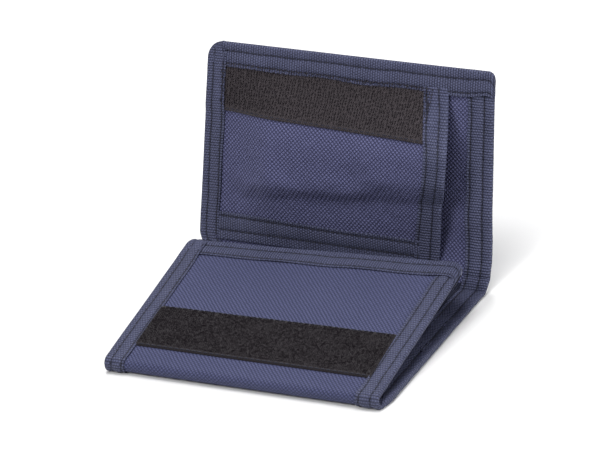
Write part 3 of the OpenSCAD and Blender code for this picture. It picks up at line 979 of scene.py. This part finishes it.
def build_pocket():
    """The pocket panel, its two folded tapes and the hook tape sewn on it."""
    seam = Seam(COVER)
    rows = COVER.stations(POCKET_BOTTOM, POCKET_TOP, 1.2)
    share = np.linspace(0, 1, 90)[None, :]
    x = between(COVER_LEFT + 1.5, pocket_edge(rows)[:, None] - 0.6, share)
    s = rows[:, None] + 0 * x
    height = pocket_height(x, s)
    x, s, height = hang_slack(x, s, height)
    cloth = two_skins("pocket_fabric", COVER, x, s, height - POCKET_CLOTH, height, NAVY)
    tape_end = POCKET_BOTTOM - 0.3
    stations = COVER.stations(tape_end, 77, 1.0)
    side = Tape(COVER, stations, pocket_edge(stations), stations, (-1, 0), POCKET_TAPE,
                pocket_under, under_side_tape, 31)
    bottom_x = np.linspace(COVER_LEFT + LEFT_TAPE - 2, POCKET_SIDE - 9.5, 84)
    bottom_width = between(11.6, 10.2, np.linspace(0, 1, bottom_x.size))
    bottom = Tape(COVER, bottom_x, bottom_x, tape_end, (0, 1), bottom_width,
                  pocket_under, under_bottom_tape, 32)
    seam.add_tape(side)
    seam.add_tape(bottom)

    x = np.linspace(HOOK_LEFT, HOOK_RIGHT, 66)[None, :]
    s = between(hook_low(x), hook_high(x), np.linspace(0, 1, 16)[:, None])
    x = x + 0 * s
    field = two_skins("hook_ground", COVER, x, s, pocket_over(x, s) + 0.05, hook_surface(x, s), HOOK_GROUND)

    def hook_stitches(at):
        low = hook_low(at) + 1.0
        return at, low, hook_surface(at, low)

    seam.add(hook_stitches, HOOK_LEFT + 2, HOOK_RIGHT - 1, 1, SMALL_PITCH, SMALL_STITCH)
    hooks = build_hooks()

    pieces = [
        ride(cloth, "cover", ["cover_pocket"]),
        ride(side.piece("pocket_side_tape", TAPE), "cover", ["cover_pocket_side_binding"]),
        ride(bottom.piece("pocket_bottom_tape", TAPE), "cover", ["cover_pocket_bottom_binding"]),
        ride(field, "cover", ["hook_tape"]),
        ride(hooks, "cover", ["hook_tape"]),
        ride(seam.piece("pocket_thread", THREAD), "cover", ["cover_stitching"])]
    for piece in pieces:
        flatten_with_cover(piece)


def build_hooks():
    """Rows of small moulded hooks, each bent over along its row, every other column facing back."""
    columns = np.arange(HOOK_LEFT + 1, HOOK_RIGHT - 0.8, 1.2)
    rows = np.linspace(0, 1, 17)
    x, share = (a.ravel() for a in np.meshgrid(columns, rows))
    s = between(hook_low(x) + 2.5, hook_high(x) - 1, share)
    x = x + RNG.normal(0, 0.2, x.size)
    s = s + RNG.normal(0, 0.2, s.size)
    facing = np.where(np.arange(x.size) % columns.size % 2 == 0, 1.0, -1.0)
    tall = RNG.uniform(0.7, 1.15, x.size)
    reach = np.array([0, 0.02, 0.10, 0.28, 0.42, 0.44])[None, :] * facing[:, None]
    rise = np.array([-0.1, 0.45, 0.85, 1.0, 0.82, 0.55])[None, :] * tall[:, None]
    x, s = x[:, None] + 0 * rise, s[:, None] + reach
    lines = COVER.place(x, s, hook_surface(x, s) + rise)
    across = np.tile([1.0, 0.05, 0.05], (len(lines), 1))
    return tubes("hooks", lines, [0.24, 0.2, 0.18, 0.17, 0.15, 0.09], across, HOOKS, 5)


# ---- the flap's loop tape, its window, and the card pockets -------------------------------------------

def build_loops():
    """The loop tape on the flap's outer face: its ground, two smooth edges and a nap of fine loops."""
    left, right, low, high = LOOP_TAPE

    def face(x, s):
        return FABRIC_LOW - 0.75 + 0.35 * np.exp(-np.minimum(s - low, high - s) / 0.5)

    ground = patch("loop_ground", FLAP, left, right, low, high, face, level(FABRIC_LOW - 0.02),
                   LOOP_GROUND, 1.2)
    count = LOOP_COUNT
    x = RNG.uniform(left + 0.5, right - 0.5, count)
    s = RNG.uniform(low + 1.6, high - 0.9, count)
    turn = RNG.uniform(0, math.pi, count)
    spread = RNG.uniform(0.09, 0.22, count)
    tall = RNG.uniform(0.25, 0.6, count) * (0.8 + 0.2 * waves(12, 14)(x, s))
    swing = np.radians(np.linspace(0, 180, 5))[None, :]
    reach = -np.cos(swing) * spread[:, None]
    lean = RNG.normal(0, 0.2, (count, 1)) * np.sin(swing)
    loop_x = x[:, None] + reach * np.cos(turn)[:, None] + lean
    loop_s = s[:, None] + reach * np.sin(turn)[:, None] + lean * 0.6
    rise = np.sin(swing) * tall[:, None]
    lines = FLAP.place(loop_x, loop_s, FABRIC_LOW - 0.7 - rise)
    side = np.stack([-np.sin(turn), np.cos(turn), 0.15 + 0 * turn], axis=1)
    nap = tubes("loops", lines, [0.05] * 5, side, LOOPS, 3)
    seam = Seam(FLAP)
    for at_s in (low + 0.8, high - 0.6):
        seam.add(lambda at: (at, at_s + 0 * at, FABRIC_LOW - 0.72 + 0 * at), left + 1, right - 1, -1,
                 SMALL_PITCH, SMALL_STITCH)
    ride(ground, "flap", ["loop_tape"])
    ride(nap, "flap", ["loop_tape"])
    ride(seam.piece("loop_thread", THREAD), "flap", ["flap_stitching"])


def build_window(seam):
    """The frame and the clear window on the flap's inner face."""
    half_x, low, high = WINDOW_HALF, WINDOW_LOW, WINDOW_HIGH
    surround = patch("window_surround", FLAP, FLAP_LEFT + 3, FLAP_FRONT_RIGHT - 3, 3.5, FLAP_END - 3,
                     level(0.42), level(0.85), NAVY, 2.2, (-half_x, half_x, low, high))
    film = patch("window_film", FLAP, -half_x - 4, half_x + 4, low - 4, high + 4,
                 level(0.37), level(0.41), VINYL, 3)
    ride(surround, "flap", ["window_frame"])
    ride(film, "flap", ["id_window"])
    for at_s in (low - 2, high + 2):
        seam.add(lambda at: (at, at_s + 0 * at, 0.9 + 0 * at), -half_x - 2, half_x + 2, 1)
    for at_x in (-half_x - 2, half_x + 2):
        seam.add(lambda at: (at_x + 0 * at, at, 0.9 + 0 * at), low - 1.4, high + 1.4, 1)


def build_card_pockets(seam):
    """Two stacked card pockets over the middle panel, each with a tape along its open edge.
    They lie on the strip that bends at the front spine, with s counted back from that crease."""
    half = MIDDLE_HALF - 2.5
    for number, (name, depth, base) in enumerate(CARD_POCKETS):
        far = -depth
        slack = waves(40 + number, 45)

        def height(x, s):
            return base + 0.35 + 0.18 * (1 + slack(x, s)) * ease(-s, 4, 14)

        def below(x, s):
            return height(x, s) - 0.3

        cloth = patch("card_pocket_" + name + "_cloth", FRONT, -half, half, far + 0.5, -2.5,
                      below, height, NAVY, 2.2)
        ride(cloth, "middle_panel", ["card_pocket_" + name])
        x = np.linspace(-half, half, 90)
        hem = Tape(FRONT, x, x, far, (0, 1), CARD_HEM, below, height, 50 + int(depth))
        tape = hem.piece("card_pocket_" + name + "_tape", TAPE)
        ride(tape, "middle_panel", ["card_pocket_" + name + "_hem"])
        seam.add_tape(hem, -half + 9, half - 11, faces=(1,))


# ---- the whole wallet, then its light and camera -----------------------------------------------------

def build_wallet():
    """Every piece of the wallet."""
    build_panels()
    seams = build_edge_tapes()
    build_pocket()
    build_loops()
    build_window(seams["flap"])
    pocket_seam = Seam(FRONT)
    build_card_pockets(pocket_seam)
    card_thread = pocket_seam.piece("card_pocket_thread", THREAD)
    ride(card_thread, "middle_panel", ["middle_stitching"])
    nodes = {"middle_rear": "middle_stitching", "cover": "cover_stitching",
             "middle_front": "middle_stitching", "flap": "flap_stitching"}
    for strip in STRIPS:
        thread = seams[strip.name].piece(strip.name + "_thread", THREAD)
        strip.fix(thread, [nodes[strip.name]], "thread")


def build_floor():
    """A wide pale floor, just under the tapes of the middle panel."""
    mesh = bpy.data.meshes.new("floor")
    half, level_at = 3.0, -0.78 * MM
    corners = [(x, y, level_at) for x, y in ((-half, -half), (half, -half), (half, half), (-half, half))]
    mesh.from_pydata(corners, [], [(0, 1, 2, 3)])
    link("floor", mesh, FLOOR)


def soft_light(name, location, target, size, power):
    """A round area light, aimed at target."""
    data = bpy.data.lights.new(name, "AREA")
    data.shape = "DISK"
    data.size, data.energy = size, power
    light = bpy.data.objects.new(name, data)
    light.location = location
    light.rotation_euler = (Vector(target) - Vector(location)).to_track_quat("-Z", "Y").to_euler()
    bpy.context.scene.collection.objects.link(light)


def build_light():
    """Four soft studio lights and a faint fill."""
    world = bpy.data.worlds.new("studio")
    world.use_nodes = True
    fill = world.node_tree.nodes["Background"]
    fill.inputs["Color"].default_value = (1, 1, 1, 1)
    fill.inputs["Strength"].default_value = 0.04
    bpy.context.scene.world = world
    soft_light("above", (0.05, -0.10, 1.20), (0, 0, 0.03), 0.6, 8.8)
    soft_light("front", (-0.25, -0.87, 0.94), (0, 0, 0.03), 0.6, 10.4)
    soft_light("back_left", (-0.35, 0.85, 0.95), (0, 0, 0.02), 0.6, 10.0)
    soft_light("right", (1.00, 0.05, 0.60), (0, 0, 0.02), 0.5, 8.0)


def build_camera():
    """A camera far off with a long lens, a little rolled, looking down on the wallet from its right."""
    azimuth, elevation, roll = (math.radians(a) for a in CAMERA_ANGLES)
    target, distance = Vector(CAMERA_TARGET) * MM, CAMERA_DISTANCE * MM
    back = Vector((math.sin(azimuth) * math.cos(elevation), -math.cos(azimuth) * math.cos(elevation),
                   math.sin(elevation)))
    right = Vector((math.cos(azimuth), math.sin(azimuth), 0))
    up = back.cross(right)
    turned_right = right * math.cos(roll) + up * math.sin(roll)
    turned_up = up * math.cos(roll) - right * math.sin(roll)
    data = bpy.data.cameras.new("camera")
    data.lens, data.sensor_width = CAMERA_LENS, CAMERA_SENSOR
    data.clip_start, data.clip_end = 0.05, 20.0
    camera = bpy.data.objects.new("camera", data)
    turn = Matrix((turned_right, turned_up, back)).transposed()
    camera.matrix_world = Matrix.Translation(target + back * distance) @ turn.to_4x4()
    bpy.context.scene.collection.objects.link(camera)
    bpy.context.scene.camera = camera


build_wallet()
build_floor()
build_light()
build_camera()
bpy.context.scene.view_settings.view_transform = "Standard"
